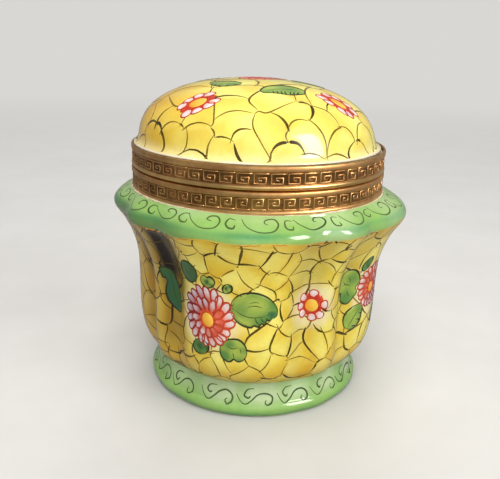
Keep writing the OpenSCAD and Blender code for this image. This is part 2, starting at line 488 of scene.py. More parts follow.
class Paint:
    """Brushwork laid on a surface: thin closed ribbons and patches, gathered into one piece."""

    def __init__(self):
        self.points, self.faces, self.tones, self.count = [], [], [], 0

    def add(self, points, faces, tones):
        self.faces += [tuple(self.count + i for i in face) for face in faces]
        self.points.append(points)
        self.tones.append(tones)
        self.count += len(points)

    def line(self, chart, path, widths, lift, colour, colour_end=None):
        """A brush line: low at both edges and raised along its middle."""
        count = len(path)
        side = rightwards(unit(np.gradient(path, axis=0))) * np.broadcast_to(widths, count)[:, None] / 2
        rows = [chart(*(path + side * out).T, np.full(count, height))
                for out, height in ((-1, -SUNK), (-0.5, lift), (0.5, lift), (1, -SUNK))]
        end = colour if colour_end is None else colour_end
        tones = np.repeat(blend(colour, end, np.linspace(0, 1, count)), 4, axis=0)
        self.add(np.stack(rows, axis=1).reshape(-1, 3), tube_faces(count, 4), tones)

    def patch(self, chart, places, heights, faces, border, tones):
        """A closed thin patch from its upper faces and the border round them."""
        count = len(places)
        top = chart(*places.T, heights)
        under = chart(*places.T, np.full(count, -SUNK))
        below = [tuple(count + i for i in face[::-1]) for face in faces]
        walls = [(b, a, count + a, count + b) for a, b in zip(border, border[1:] + border[:1])]
        self.add(np.vstack([top, under]), faces + below + walls, np.vstack([tones, tones]))

    def sheet(self, chart, grid, lift, tones):
        """A patch over a grid of chart places."""
        shape = grid.shape[:2]
        heights = np.zeros(shape)
        heights[1:-1, 1:-1] = lift
        index = np.arange(heights.size).reshape(shape)
        border = np.concatenate([index[0], index[1:, -1], index[-1, -2::-1], index[-2:0:-1, 0]]).tolist()
        self.patch(chart, grid.reshape(-1, 2), heights.ravel(), grid_faces(*shape, wrap=False), border,
                   np.broadcast_to(tones, (*shape, 3)).reshape(-1, 3))

    def blob(self, chart, outline, lift, tint, rings=4):
        """A patch inside an outline about the chart's middle. Tint gives the colours from the places and
        their shares of the way out."""
        around = len(outline)
        shares = np.linspace(0, 1, rings + 1)[1:]
        places = np.vstack([[[0.0, 0.0]]] + [outline * share for share in shares])
        heights = np.r_[lift, np.repeat(np.where(shares < 1, lift, 0), around)]
        faces = [(0, 1 + j, 1 + (j + 1) % around) for j in range(around)]
        faces += [(a, d, c, b) for a, b, c, d in grid_faces(rings, around, first=1)]
        border = list(range(len(places) - around, len(places)))
        self.patch(chart, places, heights, faces, border, tint(places, np.r_[0, np.repeat(shares, around)]))

    def make(self, name, body):
        return make_piece(name, np.vstack(self.points), self.faces, BRUSHWORK, body,
                          {"paint": np.vstack(self.tones)})


def brush_widths(count, width, tip=0.25, heavy=0.4):
    """Widths along a brush line: thin at both ends and thickest at the heavy share of its length."""
    t = np.linspace(0, 1, count)
    rise = np.where(t < heavy, t / heavy, (1 - t) / (1 - heavy))
    return width * (tip + (1 - tip) * np.sin(rise * math.pi / 2))


def smooth_path(places):
    """A smooth path through chart places, with a point about every step."""
    step = 0.8
    length = np.linalg.norm(np.diff(places, axis=0), axis=1).mean()
    return smooth_rows(places, max(2, math.ceil(length / step)))


def bowed(a, b, bow, count=5):
    """A path from a to b that bows out sideways by a share of its length."""
    a, b = np.asarray(a, float), np.asarray(b, float)
    t = np.linspace(0, 1, count)[:, None]
    return a + (b - a) * t + rightwards(b - a) * bow * 4 * t * (1 - t)


def from_middle(inner, outer, power=1.5):
    """A tint that runs from one colour in the middle to another at the outline."""
    def tint(places, shares):
        return blend(inner, outer, shares ** power)
    return tint


def across(first, last, turn, size):
    """A tint that runs across a patch of some size in one direction."""
    def tint(places, shares):
        return blend(first, last, ease(places @ heading(turn), -0.35 * size, 0.5 * size))
    return tint


# ---- cracked-ice ground

# About how far apart the cells' middles are on the base and on the dome, how far their lines stop short
# or run past their ends, and what share of them has a heavy end
CELL_PITCH = 5.6
DOME_CELL_PITCH = 8.2
OVERSHOOT = (-0.6, 1.6)
HEAVY_LINES = 0.24

# The cells' borders: the shortest that is drawn, how many make the longest stroke, how straight two of
# them run on where a stroke may pass a corner, and the share of such corners that it passes
SHORTEST_BORDER = 0.8
LONGEST_CHAIN = 3
STRAIGHT_ON = -0.6
PASSED_CORNERS = 0.35


def cell_lines(seeds):
    """Corners and borders of the cells round flat seeds."""
    found = delaunay_2d_cdt([Vector(s) for s in seeds], [], [], 0, 1e-6)
    places, triangles = np.array([tuple(v) for v in found[0]]), np.array(found[2])
    x, y, double = np.zeros((3, len(triangles)))
    for turn in range(3):
        a, b, c = (places[column] for column in np.roll(triangles, -turn, axis=1).T)
        square = (a * a).sum(axis=1)
        x += square * (b[:, 1] - c[:, 1])
        y += square * (c[:, 0] - b[:, 0])
        double += 2 * a[:, 0] * (b[:, 1] - c[:, 1])
    sides = {}
    for k, (i, j, m) in enumerate(found[2]):
        for side in ((i, j), (j, m), (m, i)):
            sides.setdefault(tuple(sorted(side)), []).append(k)
    borders = [tuple(pair) for pair in sides.values() if len(pair) == 2]
    return np.stack([x, y], axis=1) / double[:, None], borders


def straight_pairs(corners, borders, draw):
    """The two borders that run on in nearly one line, by the corners that a stroke may pass."""
    meeting = {}
    for border in borders:
        for end, far in (border, border[::-1]):
            meeting.setdefault(end, []).append((border, unit(corners[far] - corners[end])))
    follows = {}
    for corner, group in meeting.items():
        pairs = [(way @ other_way, (border, other))
                 for (border, way), (other, other_way) in itertools.combinations(group, 2)]
        turn, pair = min(pairs, default=(0, None))
        if turn < STRAIGHT_ON and draw.random() < PASSED_CORNERS:
            follows[corner] = pair
    return follows


def chains(corners, borders, draw, keep):
    """Paths of one to three borders, each drawn in one stroke. keep tests a border's middle."""
    borders = [b for b in borders if keep(*(corners[b[0]] + corners[b[1]]) / 2)
               and np.linalg.norm(corners[b[0]] - corners[b[1]]) > SHORTEST_BORDER]
    follows = straight_pairs(corners, borders, draw)
    used, paths = set(), []
    for start in borders:
        if start in used:
            continue
        used.add(start)
        path = list(start)
        for _ in range(2):
            path = path[::-1]
            while len(path) <= LONGEST_CHAIN:
                pair = follows.get(path[-1], ())
                step = [b for b in pair if b not in used]
                if not step or not any(set(b) == set(path[-2:]) for b in pair):
                    break
                used.add(step[0])
                path += [corner for corner in step[0] if corner != path[-1]]
        paths.append(corners[path])
    return paths


def draw_cells(paint, chart, paths, draw, width, bow, ink_shade, crown=False):
    """Each path as one springy brush line that stops short or runs past its ends, some with a heavy
    end. Ink shade gives the share of the darkest ink at a place, which is painted shade. With a crown,
    single borders bulge towards the chart's middle."""
    for path in paths:
        ends = unit(np.array([path[0] - path[1], path[-1] - path[-2]]))
        path[[0, -1]] += ends * draw.uniform(*OVERSHOOT, 2)[:, None]
        if len(path) == 2:
            bend = draw.uniform(0.3, 1) * bow * draw.choice([-1, 1])
            if crown and rightwards(path[1] - path[0]) @ path[0] < 0:
                bend = abs(bend)
            elif crown and draw.random() < 0.8:
                bend = -abs(bend)
            path = bowed(*path, bend, 4)
        path = smooth_path(path)
        path = path + draw.normal(0, 0.02, path.shape)
        if draw.random() < HEAVY_LINES:
            size, heavy, colour = draw.uniform(1.3, 1.8), draw.uniform(0.1, 0.3), DARK_INK
        else:
            size, heavy = draw.uniform(0.75, 1.1), draw.uniform(0.15, 0.85)
            colour = blend(INK, DARK_INK, draw.random())
        if draw.random() < 0.5:
            path = path[::-1]
        widths = brush_widths(len(path), width * size, 0.17, heavy)
        darker = ink_shade(*path[len(path) // 2])
        colour_end = blend(blend(colour, PALE_INK, draw.random() * 0.8), INK_IN_SHADE, darker)
        paint.line(chart, path, widths, LINE_LIFT, blend(colour, INK_IN_SHADE, darker), colour_end)


# ---- leaves

# Leaves in an outline by kind: how wide it is to its height, their two greens and the way in which they
# turn, the outline's lobes, and strokes inside as (start, end, bow, width) in shares of the half size
LEAVES = {
    "broad": (1.16, (LEAF, MID_LEAF), -10,
              [(-25, 5, -0.15), (-43, 5, -0.15), (-62, 5, -0.15), (-82, 5, -0.15), (-8, 24, 0.14),
               (60, 40, -0.08), (150, 40, 0.02)],
              [((-0.86, 0), (0.62, -0.18), 0.16, 0.42), ((-0.2, 0.26), (0.2, 0.32), -0.12, 0.36),
               ((-0.25, 0.1), (0.34, 0.1), -0.14, 0.4), ((0.1, -0.3), (0.28, -0.62), 0.12, 0.5),
               ((0.32, -0.3), (0.5, -0.52), 0.12, 0.5), ((0.52, -0.3), (0.7, -0.42), 0.12, 0.5)]),
    "lobed": (1.02, (LEAF, MID_LEAF), -160,
              [(-92, 13, -0.34), (-40, 24, 0.05), (-140, 24, 0.05), (60, 20, 0.06)],
              [((-0.42, 0.5), (0.42, 0.34), 0.26, 0.4), ((0, -0.56), (-0.05, -0.12), 0.06, 0.4),
               ((0.55, -0.2), (0.5, 0.2), 0.1, 0.32)]),
    "heart": (1.15, (LEAF, DARK_LEAF), -60, [(95, 17, -0.4), (-90, 40, 0.08)],
              [((0.02, 0.4), (0.1, -0.15), 0.1, 0.4)]),
    "oval": (0.78, (MID_LEAF, DARK_LEAF), 40, [(90, 30, 0.06)], [((-0.2, 0.5), (0.12, -0.3), 0.14, 0.44)]),
    "cleft": (0.95, (LEAF, MID_LEAF), -60,
              [(182, 11, 0.16), (212, 13, -0.44), (-22, 14, -0.34), (62, 26, 0.06), (128, 14, -0.1),
               (-96, 16, 0.14), (-60, 12, -0.06)],
              [((-0.2, 0.4), (0, 0.1), 0.2, 0.4), ((0.1, 0.46), (0.16, 0.16), -0.2, 0.4),
               ((-0.34, 0.1), (0.2, -0.06), -0.16, 0.4), ((0, -0.2), (0.1, -0.6), 0.1, 0.36)]),
}


def outline_ink(paint, chart, outline, draw, width):
    """A leaf's drawn edge, which wanders a little off its colour and swells and thins."""
    n = len(outline)
    closed = np.vstack([outline, outline[:1]]) * (1 + 0.02 * draw.normal(0, 1)) + draw.uniform(-0.12, 0.12, 2)
    start = draw.uniform(0, 2 * math.pi)
    swell = 1 + 0.55 * np.sin(np.linspace(0, 2 * math.pi, n + 1) * 2 + start)
    paint.line(chart, closed, width * np.maximum(swell, 0.5), STROKE_LIFT + 0.005, LEAF_INK)


def star_outline(size, wide, lobes=()):
    """An outline about the chart's middle. Lobes are (direction, spread, share): there it goes out by
    the share, or comes in where that is negative."""
    turns = np.arange(0, 360, 6)
    radius = size / 2
    for direction, spread, share in lobes:
        radius = radius * (1 + share * np.exp(-(off_angle(turns, direction) / spread) ** 2))
    return np.stack([radius * np.cos(np.radians(turns)) * wide, radius * np.sin(np.radians(turns))], axis=1)


def patches(places, size, starts):
    """Soft patches over a leaf, about -1 to 1."""
    x, y = np.moveaxis(places, -1, 0) * 2 / size
    return np.sin(3.6 * x + 1.4 * y + starts[0]) * np.sin(3.9 * y - 1.1 * x + starts[1])


def mottled(first, last, turn, size, draw):
    """A wash in soft patches of two colours, the second gathering towards one side."""
    starts = draw.uniform(0, 2 * math.pi, 2)

    def tint(places, shares):
        slant = 0.9 * (places @ heading(turn)) / size
        return blend(first, last, 0.42 + 0.55 * patches(places, size, starts) + slant)
    return tint


def leaf_stroke(paint, chart, path, width, tip, heavy):
    """A brush stroke inside a leaf."""
    paint.line(chart, path, brush_widths(len(path), width, tip, heavy), STROKE_LIFT, DARK_LEAF, LEAF_INK)


def leaf(paint, chart, size, draw, kind, wide=None, tints=None):
    """A leaf as a wash of two greens with a drawn edge and a few brush strokes inside it."""
    usual_wide, usual_tints, turn, lobes, strokes = LEAVES[kind]
    outline = star_outline(size, wide or usual_wide, lobes)
    half = np.abs(outline).max()
    paint.blob(chart, outline, LEAF_LIFT, mottled(*(tints or usual_tints), turn, 2 * half, draw), rings=6)
    outline_ink(paint, chart, outline, draw, 0.42)
    for start, end, bow, width in strokes:
        path = bowed(half * np.array(start), half * np.array(end), bow, 8)
        leaf_stroke(paint, chart, path, width, 0.25, 0.5)


def broad_leaf(paint, chart, size, draw):
    """A broad leaf with its dark tip turned over on the right."""
    leaf(paint, chart, size, draw, "broad")

    def at_tip(x, y, lift):
        return chart(x + size * 0.5, y - size * 0.12, np.asarray(lift) * 1.4)

    paint.blob(at_tip, star_outline(size * 0.26, 1.3), LEAF_LIFT, from_middle(BLUE_LEAF, MID_LEAF, 1.0))


def ribbon_leaf(paint, chart, path, half, draw, tints, teeth=0):
    """A leaf along a path, with its half width at each place, and strokes for teeth on its right edge."""
    path = smooth_rows(path, 4)
    half = np.interp(np.linspace(0, 1, len(path)), np.linspace(0, 1, len(half)), half)[:, None]
    way = unit(np.gradient(path, axis=0))
    edge = rightwards(way) * half
    columns = np.linspace(-1, 1, 7)
    grid = path[:, None] + edge[:, None] * columns[:, None]
    shade = 0.45 + 0.35 * patches(grid, 4 * half.max(), draw.uniform(0, 6, 2)) + 0.25 * columns
    paint.sheet(chart, grid, LEAF_LIFT, blend(*tints, shade))
    outline_ink(paint, chart, np.vstack([grid[:, 0], grid[::-1, -1]]), draw, 0.4)
    leaf_stroke(paint, chart, path[2:-3], 0.42, 0.3, 0.3)
    for k in range(teeth):
        row = int(2 + (len(path) - 5) * (k + 0.5) / teeth)
        tooth = bowed(path[row] + edge[row], path[row] + edge[row] * 0.4 - way[row] * 0.5, 0.15)
        paint.line(chart, tooth, brush_widths(5, 0.6, 0.25, 0.2), STROKE_LIFT + 0.008, LEAF_INK)


def long_leaf(paint, chart, length, draw, width, bend, teeth):
    """A pointed leaf along the chart's y, with a curved middle."""
    t = np.linspace(0, 1, 6)
    path = np.stack([bend * length * (t - 0.5) ** 2 * 2, (t - 0.5) * length], axis=1)
    half = width / 2 * np.sin(math.pi * np.clip(np.linspace(0, 1, 15), 0.03, 0.97) ** 0.8) ** 0.7
    ribbon_leaf(paint, chart, path, half, draw, (LEAF, MID_LEAF), teeth)


def curled_leaf(paint, chart, size, draw):
    """A leaf that curls over at its head, narrows and swells again towards its tip."""
    path = np.array([(-0.28, 0.43), (-0.1, 0.46), (0, 0.26), (0.02, 0.02), (0.1, -0.24), (0.24, -0.48)])
    half = np.array([0.12, 0.15, 0.13, 0.11, 0.16, 0.21, 0.2, 0.13, 0.03])
    # Dark greens, partly the leaf's own and partly painted shade, for it lies by a shaded crease
    ribbon_leaf(paint, chart, path * size, half * size, draw, (DARK_LEAF, BLUE_LEAF))


# ---- flowers

# The rings of a rosette: how many petals, where they start and end, how far they swirl, and how red
# their tips are
ROSETTE_RINGS = ((19, 0.56, 1.0, 12, 0.1), (12, 0.3, 0.66, 8, 0.95))


def petal(paint, chart, root, tip, width, lift, tints, ink, thick):
    """An egg-shaped petal from its root to its tip, with a drawn edge."""
    way = tip - root
    t = np.array([0, 0.2, 0.42, 0.64, 0.82, 0.94, 1.0])
    half = width / 2 * np.array([0.5, 0.74, 0.94, 1.0, 0.86, 0.55, 0.16])
    out = half[:, None] * np.linspace(-1, 1, 4)
    grid = (root + way * t[:, None])[:, None] - rightwards(unit(way)) * out[..., None]
    paint.sheet(chart, grid, lift, blend(*tints, ease(t, 0.05, 0.7))[:, None])
    paint.line(chart, np.vstack([grid[:, 0], grid[::-1, -1]]), thick, lift + 0.022, ink)


def flower_heart(paint, chart, radius, lift, draw):
    """The orange disc in the middle of a flower, ringed in red by a loose stroke."""
    lobes = [(draw.uniform(0, 360), 40, 0.07), (draw.uniform(0, 360), 40, -0.05)]
    outline = star_outline(radius * 2, 0.95, lobes)
    paint.blob(chart, outline, lift, across(PALE_DISC, DISC, 200, radius * 2), rings=3)
    closed = np.vstack([outline, outline[:1]]) * 1.04
    swell = 0.3 + 0.12 * np.sin(np.linspace(0, 2 * math.pi, len(closed)) + draw.uniform(0, 6))
    paint.line(chart, closed, swell, lift + 0.01, ORANGE_RED, RED)


def stretched(chart, wide, tall, right=0.0, up=0.0):
    """A chart stretched about its middle, across and up, and moved."""
    def moved(x, y, lift):
        return chart(x * wide + right, y * tall + up, lift)
    return moved


def chrysanthemum(paint, chart, radius, draw, blush=-35, tall=1.14):
    """A full rosette: two rings of long petals round a disc, the upper ring over the lower one, and
    redder on the side towards blush."""
    chart = stretched(chart, 1, tall)
    ground = star_outline(radius * 1.74, 1, [(90, 60, 0.12)])
    paint.blob(chart, ground, GROUND_LIFT, from_middle(ORANGE_RED, PINK, 2.0), rings=5)
    for k, (count, near, far, swirl, red_tip) in enumerate(ROSETTE_RINGS):
        for i in range(count):
            angle = 360 * (i + 0.5 * k) / count + draw.uniform(-4, 4)
            warm = 0.5 + 0.5 * math.cos(math.radians(angle - blush))
            reach = radius * (1 + 0.12 * math.sin(math.radians(angle)))
            start = near * reach * heading(angle - swirl)
            end = far * draw.uniform(0.94, 1.05) * reach * heading(angle)
            inked = blend(DARK_RED, ORANGE_RED, 0.8 * warm + draw.uniform(-0.2, 0.15))
            root = blend(inked, PINK, 0.3 + 0.5 * warm)
            tip = blend(LILAC, PETAL, warm + draw.uniform(-0.2, 0.3))
            tip = blend(tip, ORANGE_RED, ease(warm, 0.5, 0.8) * red_tip)
            lift = PETAL_LIFT + 0.035 * k + PETAL_STEP * (i % 2)
            petal(paint, chart, start, end, 0.27 * radius, lift, (root, tip), inked, draw.uniform(0.42, 0.62))
    flower_heart(paint, chart, radius * 0.26, 0.14, draw)


def daisy(paint, chart, radius, draw, wedges, petals=8):
    """A small open flower: round white petals, outlined in red, about an orange disc. Wedges are
    directions in which red takes a petal's place."""
    ground = star_outline(radius * 1.36, 1, [(turn, 28, 0.24) for turn in (100, *wedges)])
    paint.blob(chart, ground, GROUND_LIFT, from_middle(RED, ORANGE_RED, 3))
    tints = blend(PETAL, PINK, 0.5), PETAL
    for i in range(petals):
        turn = 360 * i / petals + draw.uniform(-6, 6)
        if any(abs(off_angle(turn, wedge)) < 20 for wedge in wedges):
            continue
        way = radius * heading(turn)
        end = way * draw.uniform(0.9, 1.1)
        inked = blend(RED, ORANGE_RED, draw.uniform(0, 0.7))
        width = radius * draw.uniform(0.5, 0.58)
        lift = PETAL_LIFT + PETAL_STEP * (i % 2)
        petal(paint, chart, way * 0.52, end, width, lift, tints, inked, draw.uniform(0.34, 0.46))
    flower_heart(paint, chart, radius * 0.47, 0.11, draw)


# ---- scrolls

# Scroll curves in a box one unit high: for the rim a C that curls in at its right end and a small
# hook, and for the foot a long stem that curls under at its end and a hook above it
RIM_CURVES = (((-0.86, 0.42), (-0.62, -0.12), (-0.12, -0.5), (0.42, -0.38), (0.66, 0.06), (0.5, 0.42),
               (0.16, 0.42), (0.06, 0.16), (0.22, 0.06)),
              ((1.34, 0.3), (1.08, 0.34), (0.94, 0.02), (1.06, -0.3), (1.28, -0.34), (1.34, -0.12)))
FOOT_CURVES = (((-1.12, 0.34), (-0.92, -0.12), (-0.62, -0.34), (-0.28, -0.12), (0.08, 0.28), (0.5, 0.4),
                (0.84, 0.16), (0.84, -0.24), (0.58, -0.42), (0.42, -0.2), (0.54, -0.06)),
               ((-0.14, 0.6), (-0.52, 0.56), (-0.7, 0.28), (-0.5, 0.06), (-0.36, 0.2)))


def draw_scrolls(paint, surface, height, size, pitch, curves, seed):
    """Scrolls one after another round the box, in brush lines that are heavier towards their curled ends."""
    draw = np.random.default_rng(seed)
    run = surface.run_at(height)
    length = 2 * math.pi * surface.radius(run)
    count = round(length / pitch)
    for i in range(count):
        place = np.array([(i + 0.5 + draw.uniform(-0.06, 0.06)) * length / count, draw.uniform(-0.2, 0.2)])
        for curve in curves:
            path = (curve + draw.normal(0, 0.02, (len(curve), 2))) * size * draw.uniform(0.9, 1.08, 2)
            path = smooth_rows(path + place, 5)
            colour = blend(SCROLL, DARK_SCROLL, draw.uniform(0, 0.9))
            widths = brush_widths(len(path), draw.uniform(0.54, 0.74), 0.4, draw.uniform(0.5, 0.8))
            paint.line(surface.band(0, run), path, widths, LINE_LIFT, colour)


# ---- materials

def fill(node, inputs):
    """Sets a node's inputs by name or place, and links those whose value is another node's output."""
    for key, value in inputs.items():
        if isinstance(value, bpy.types.NodeSocket):
            node.id_data.links.new(value, node.inputs[key])
        else:
            node.inputs[key].default_value = value


def add(tree, kind, output, inputs=(), **settings):
    """Adds a shader node with its settings and inputs, and gives one of its outputs."""
    node = tree.nodes.new("ShaderNode" + kind)
    for key, value in settings.items():
        setattr(node, key, value)
    fill(node, dict(inputs))
    return node.outputs[output]


def noise(tree, scale, detail, roughness=0.5):
    """Solid noise in the object's own metres."""
    return add(tree, "TexNoise", "Fac", {"Vector": add(tree, "TexCoord", "Object"), "Scale": scale,
                                         "Detail": detail, "Roughness": roughness})


def ramp(tree, value, *stops):
    """A colour ramp with stops of place and linear colour or grey."""
    node = tree.nodes.new("ShaderNodeValToRGB")
    elements = node.color_ramp.elements
    while len(elements) < len(stops):
        elements.new(0.5)
    for element, (place, colour) in zip(elements, stops):
        element.position = place
        element.color = (*np.broadcast_to(colour, 3), 1)
    fill(node, {"Fac": value})
    return node.outputs["Color"]


def multiply(tree, a, b):
    """The product of two colours."""
    inputs = {"Factor": 1, "A": a, "B": b}
    return add(tree, "Mix", "Result", inputs, data_type="RGBA", blend_type="MULTIPLY")


def math_node(tree, operation, *values, clamp=False):
    """The result of an operation on numbers."""
    return add(tree, "Math", "Value", enumerate(values), operation=operation, use_clamp=clamp)


def bump(tree, height, strength, distance):
    """Fine relief from a height, given in metres by distance."""
    return add(tree, "Bump", "Normal", {"Strength": strength, "Distance": distance, "Height": height})


def new_material(name, shader_inputs):
    """A material, from a function that makes its shader's inputs in its node tree."""
    material = bpy.data.materials.new(name)
    material.use_nodes = True
    tree = material.node_tree
    fill(tree.nodes["Principled BSDF"], shader_inputs(tree))
    return material


def glaze_material(name, gloss, depth, specular):
    """Painted and glazed porcelain: the paint's colour with washes, under a clear glossy glaze."""
    def inputs(tree):
        paint = add(tree, "Attribute", "Color", attribute_name="paint")
        wash = ramp(tree, noise(tree, 120, 4, 0.6), (0.3, 1 - depth), (0.7, 1))
        grain = ramp(tree, noise(tree, 900, 3, 0.6), (0.3, 1 - depth * 0.5), (0.65, 1))
        return {"Base Color": multiply(tree, multiply(tree, paint, wash), grain),
                "Roughness": ramp(tree, noise(tree, 60, 3), (0.3, gloss[0]), (0.7, gloss[1])),
                "IOR": 1.36, "Specular IOR Level": specular, "Coat Weight": 0.3, "Coat Roughness": 0.12,
                "Normal": bump(tree, noise(tree, 70, 2, 0.4), 0.25, 0.0006)}
    return new_material(name, inputs)


def brass_material(name, bright, middle, dark, wear_from=0.0):
    """Stamped brass with age: dark patina in the sunk parts, rubbed bright where it stands up."""
    def inputs(tree):
        rubbed = math_node(tree, "MULTIPLY_ADD", noise(tree, 420, 5, 0.65), 0.9, wear_from - 0.45)
        given = add(tree, "Attribute", "Fac", attribute_name="wear")
        wear = math_node(tree, "ADD", rubbed, given, clamp=True)
        colour = ramp(tree, wear, (0, tone(*dark)), (0.42, tone(*middle)), (0.95, tone(*bright)))
        stain = ramp(tree, noise(tree, 90, 4, 0.6), (0.35, 0.7), (0.62, 1))
        return {"Base Color": multiply(tree, colour, stain), "Metallic": 1,
                "Roughness": ramp(tree, wear, (0, 0.62), (0.5, 0.44), (1, 0.3)),
                "Normal": bump(tree, noise(tree, 1500, 4, 0.6), 0.35, 0.00008)}
    return new_material(name, inputs)


def matt_material(name, scale, stops, rough, relief):
    """A matt material in a few mottled colours, with fine relief."""
    def inputs(tree):
        return {"Base Color": ramp(tree, noise(tree, scale, 4, 0.6), *stops), "Roughness": rough,
                "Normal": bump(tree, noise(tree, scale * 3.6, 4, 0.6), 0.6, relief)}
    return new_material(name, inputs)


PORCELAIN = glaze_material("painted_glaze", (0.1, 0.18), 0.12, 0.5)
BRUSHWORK = glaze_material("brushwork_glaze", (0.12, 0.2), 0.2, 0.3)
BRASS = brass_material("antique_brass", (246, 202, 132), (214, 158, 100), (128, 90, 55))
HINGE_BRASS = brass_material("hinge_brass", (240, 196, 126), (204, 150, 94), (122, 86, 52), 0.42)
PIN_BRASS = brass_material("pin_brass", (228, 186, 104), (186, 136, 66), (96, 62, 26), 0.55)
PLASTER = matt_material("plaster", 500, ((0.25, tone(134, 112, 84)), (0.5, tone(214, 196, 170)),
                                         (0.8, tone(236, 224, 206))), 0.85, 0.0001)


# ---- the painted base

# Where the painted body starts and ends, and how far round it is
BODY_Z = FOOT_H + 0.3
RIM_Z = FOOT_H + 0.894 * BODY_H
BODY_TURN = 2 * math.pi * BODY_R

# The narrow lobes whose two creases get the most painted shade, partly the box's brown wash, by angle and
# strength
SHADED_CREASES = ((-45, 0.66), (135, 0.4))

# Motifs on one half of the base, by angle, height, tilt, size and what is their own
BASE_FLOWERS = (
    (chrysanthemum, -11.8, 29.4, 20, 7.3, {}),
    (daisy, 36.2, 32.2, 0, 4.3, {"wedges": (55,)}),
    (chrysanthemum, 76.5, 32.3, 0, 6.4, {"blush": 160, "tall": 1.0}),
)
BASE_LEAVES = (
    (broad_leaf, 7.8, 33.5, -4, 9.6, {}),
    (leaf, -0.2, 21.8, 6, 6.9, {"kind": "lobed"}),
    (leaf, -15.6, 21.2, 25, 4.1, {"kind": "oval", "wide": 1.25}),
    (leaf, -21.4, 41.4, 12, 6.3, {"kind": "oval", "wide": 0.98, "tints": (DARK_LEAF, SHADY_GREEN)}),
    (leaf, -11.6, 40.2, -6, 3.6, {"kind": "heart"}),
    (leaf, -3.2, 38.9, -32, 2.8, {"kind": "oval", "tints": (LEAF, DARK_LEAF)}),
    (curled_leaf, -36.4, 32.6, 0, 11.4, {}),
    (leaf, 60.0, 34.6, 10, 9.4, {"kind": "cleft"}),
    (long_leaf, 65.6, 25.2, -38, 8.0, {"width": 6.2, "bend": 0.1, "teeth": 3}),
    (leaf, 69.0, 40.2, -30, 4.6, {"kind": "oval", "wide": 0.7}),
    (long_leaf, 92.0, 31.0, -64, 8.6, {"width": 5.4, "bend": 0.15, "teeth": 5}),
    (leaf, 85.0, 22.4, -20, 5.6, {"kind": "lobed"}),
)


def scattered(count, propose, turn_over=None):
    """Places strewn evenly but not in rows: each is the best of a few proposals, farthest from the
    others, where distances across may wrap round a turn."""
    places = np.array([propose()])
    for _ in range(count - 1):
        tries = np.array([propose() for _ in range(5)])
        gap = tries[:, None] - places
        if turn_over:
            gap[..., 0] = (gap[..., 0] + turn_over / 2) % turn_over - turn_over / 2
        places = np.vstack([places, tries[np.hypot(gap[..., 0], gap[..., 1]).min(axis=1).argmax()]])
    return places


def seeds_on_band(low, high, pitch, seed):
    """Cell seeds on the band between two runs, repeated past both ends of the turn."""
    draw = np.random.default_rng(seed)
    low, high = low - pitch, high + pitch

    def propose():
        return [draw.uniform(0, BODY_TURN), draw.uniform(low, high)]

    seeds = scattered(int(BODY_TURN * (high - low) / pitch ** 2), propose, BODY_TURN)
    return np.vstack([seeds, seeds + [BODY_TURN, 0], seeds - [BODY_TURN, 0]])


def nearest_seeds(places, seeds):
    """For each place in a grid, its nearest seed and how much nearer that is than the next one."""
    nearest, margin = [], []
    for row in places:
        gap = np.hypot(row[:, None, 0] - seeds[:, 0], row[:, None, 1] - seeds[:, 1])
        two = np.partition(gap, 1, axis=1)[:, :2]
        nearest.append(gap.argmin(axis=1))
        margin.append(two[:, 1] - two[:, 0])
    return np.array(nearest), np.array(margin)


def cell_wash(surface, places, seeds, repeat, seed):
    """The yellow ground's colours: a tint and a slant for each cell, golden near the lines, and slow
    washes over them all. Cells are the same again after some number of seeds."""
    draw = np.random.default_rng(seed)
    tint = draw.uniform(0, 1, repeat)
    slant = draw.uniform(0, 2 * math.pi, repeat)
    nearest, margin = nearest_seeds(places, seeds)
    cell = nearest % repeat
    off = places - seeds[nearest]
    side = np.clip((off[..., 0] * np.cos(slant[cell]) + off[..., 1] * np.sin(slant[cell])) / 3.5, -1, 1)
    border = 1 - ease(margin, 0, 2.4)
    gold = (0.06 + 0.22 * (tint[cell] - 0.4) + 0.42 * np.maximum(side, 0) + 0.14 * border
            + 0.14 * WASH(surface.angles, surface.heights))
    pale = 0.6 * (0.6 - tint[cell]) - 0.65 * side * (1 - border) + 0.3
    return layered(YELLOW, (GOLD, gold), (PALE_YELLOW, pale))


def layered(colours, *washes):
    """Colours under washes, each of them a tone and its share at every point."""
    for wash, share in washes:
        colours = blend(colours, wash, share)
    return colours


def on_left(angle):
    """1 on the left side of the box and 0 on its right, with a slow change between them."""
    return ease(-np.sin(np.radians(angle)), -0.1, 0.9)


def rim_line(surface, angle):
    """The run of the painted edge between the yellow body and the green rim."""
    drop = soft_lobe_drop(angle)
    return surface.run_at(RIM_Z) - 0.1 - 1.2 * drop - 0.6 * on_left(angle) + 0.35 * WASH(angle * 3, 0)


def rim_green(surface):
    """The rim's green: a deep band along the roll above its edge, a darker green low on the left that is
    painted shade, and paler towards the collar.
    """
    angle, run = surface.angles, surface.runs
    low = surface.run_at(RIM_Z)
    share = (run - low) / (run[-1] - low)
    band = np.exp(-((share - 0.2) / 0.14) ** 2) * (0.75 + 0.5 * WASH(angle * 2, run))
    return layered(GREEN, (DEEP_GREEN, band),
                   # Painted shade: a darker green low on the left side
                   (SHADY_GREEN, 0.8 * on_left(angle) * (1 - ease(share, 0.1, 0.5))),
                   (PALE_GREEN, 0.3 * ease(share, 0.4, 0.9) + 0.35 * WASH(angle * 2, run * 2)))


def foot_green(angle, height):
    """The foot's green: full at its edge, with paler greyish patches above that are partly pooled glaze and
    partly painted reflection; there are fewer of them on the left, which is in painted shade.
    """
    share = height / FOOT_H
    pale = (1 - 0.5 * on_left(angle)) * ease(share, 0.25, 0.65) * (1 + WASH(angle * 3, height))
    return layered(DEEP_GREEN, (GREEN, ease(share, 0, 0.28) + 0.2 * WASH(angle * 2, height * 3)),
                   (PALE_GREEN, 0.9 * pale))


def crease_shade(angle):
    """How strong the painted shade is towards the creases, most of all round the shaded ones; a little of it
    is the box's brown wash.
    """
    return 0.14 + sum(strength * np.exp(-(off_angle(angle, middle) / 19) ** 4)
                      for middle, strength in SHADED_CREASES)


